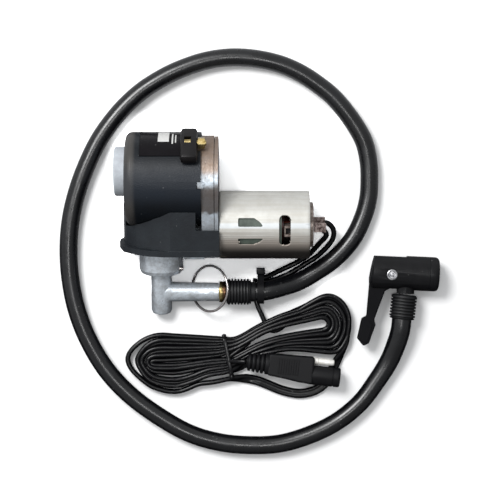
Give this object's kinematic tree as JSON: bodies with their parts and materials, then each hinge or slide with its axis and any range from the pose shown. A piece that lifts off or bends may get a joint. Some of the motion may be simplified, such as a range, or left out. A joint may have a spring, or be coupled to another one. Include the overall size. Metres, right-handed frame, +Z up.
{
  "type": "portable tire inflator",
  "caption": "Small DC piston air pump: geared motor, crank, piston and head, with an air hose ending in a thumb-lock chuck and a power lead with a two-pin plug.",
  "frame": {"origin": "centre of the pump's footprint on the table, without the hose, leads and what hangs on them", "axes": "+Z up from the table, +X along the motor and crank axes towards the motor's terminals, +Y from the cylinder head towards the crank cover"},
  "size_m": [0.2113, 0.2263, 0.0563],
  "materials": {
    "cover_plastic": "matte charcoal black, finely textured",
    "label_film": "glossy black film, left bare",
    "cast_zinc": "die-cast zinc, blotchy light grey",
    "zinc_plated_steel": "zinc plated, semi-bright",
    "bright_steel": "bright steel",
    "brass": "bright brass",
    "bronze": "sintered bronze",
    "copper": "copper",
    "ferrite": "dark ferrite",
    "carbon": "pressed carbon",
    "moulded_black": "semi-gloss black",
    "hose_rubber": "smooth black rubber",
    "wire_vinyl": "semi-gloss black vinyl"
  },
  "bodies": {
    "pump": {"air_hose": "hose_rubber", "brush_1": "carbon", "brush_2": "carbon", "cable_tie": "moulded_black", "chuck_body": "moulded_black", "chuck_cap": "moulded_black", "chuck_rivet": "bright_steel", "chuck_seal": "hose_rubber", "clamp_nut": "brass", "clamp_screw": "brass", "crank_bearing": "bronze", "crank_cover": "cover_plastic", "cylinder_cowl": "cover_plastic", "cylinder_liner": "bronze", "end_bell": "moulded_black", "end_boss": "cast_zinc", "front_bush": "bronze", "gear_case": "cast_zinc", "hank_tie": "wire_vinyl", "head_casting": "cast_zinc", "head_seal": "hose_rubber", "head_set_screw": "bright_steel", "hose_barb": "brass", "hose_nut_chuck": "moulded_black", "hose_nut_pump": "moulded_black", "label_plate": "label_film", "lead_hank": "wire_vinyl", "lead_loop": "wire_vinyl", "magnet_1": "ferrite", "magnet_2": "ferrite", "motor_can": "zinc_plated_steel", "motor_plate": "cast_zinc", "motor_wire_1": "wire_vinyl", "motor_wire_2": "wire_vinyl", "plug_body": "moulded_black", "plug_contact": "brass", "plug_pin": "bright_steel", "power_lead": "wire_vinyl", "rear_bush": "bronze", "terminal_1": "copper", "terminal_2": "copper", "valve_plate": "bright_steel", "valve_spring": "bright_steel"},
    "armature": {"motor_shaft": "bright_steel", "armature_core": "bright_steel", "armature_winding": "copper", "commutator": "copper", "pinion": "brass"},
    "crank": {"crank_gear": "bright_steel", "crankshaft": "bright_steel"},
    "piston": {"piston": "cast_zinc", "piston_seal": "hose_rubber", "wrist_pin": "bright_steel"},
    "rod": {"connecting_rod": "cast_zinc", "rod_bearing": "bright_steel", "crank_pin": "bright_steel"},
    "valve": {"valve_disc": "hose_rubber"},
    "lever": {"chuck_lever": "moulded_black"},
    "plunger": {"chuck_plunger": "brass"},
    "ring": {"split_ring": "bright_steel"}
  },
  "joints": [
    {"name": "armature_spin", "type": "hinge", "parent": "pump", "child": "armature", "pos_m": [0.01905, -0.0003, 0.0187], "axis": [1, 0, 0], "continuous": true},
    {"name": "crank_spin", "type": "hinge", "parent": "pump", "child": "crank", "pos_m": [-0.01095, 0.02477, 0.0256], "axis": [1, 0, 0], "continuous": true},
    {"name": "piston_slide", "type": "slide", "parent": "pump", "child": "piston", "axis": [0, -0.9641, -0.2654], "range_m": [0, 0.014]},
    {"name": "rod_swing", "type": "hinge", "parent": "piston", "child": "rod", "pos_m": [-0.03295, 0.0026, 0.0195], "axis": [1, 0, 0], "range_deg": [-13.5, 13.5]},
    {"name": "valve_lift", "type": "slide", "parent": "pump", "child": "valve", "axis": [0, -0.9641, -0.2654], "range_m": [0, 0.0005], "stiffness_N_per_m": 150},
    {"name": "lever_swing", "type": "hinge", "parent": "pump", "child": "lever", "pos_m": [0.09454, -0.02791, 0.0096], "axis": [0, 0, -1], "range_deg": [0, 58]},
    {"name": "plunger_slide", "type": "slide", "parent": "pump", "child": "plunger", "axis": [-0.999, 0.0454, 0], "range_m": [0, 0.0015]},
    {"name": "ring_swing", "type": "hinge", "parent": "pump", "child": "ring", "pos_m": [-0.01615, -0.03573, 0.00075], "axis": [0, -1, 0], "range_deg": [0, 52]}
  ],
  "couplings": [
    {"joint": "crank_spin", "follows": "armature_spin", "ratio": -0.22642},
    {"joint": "plunger_slide", "follows": "lever_swing", "m_per_rad": 0.0012}
  ]
}
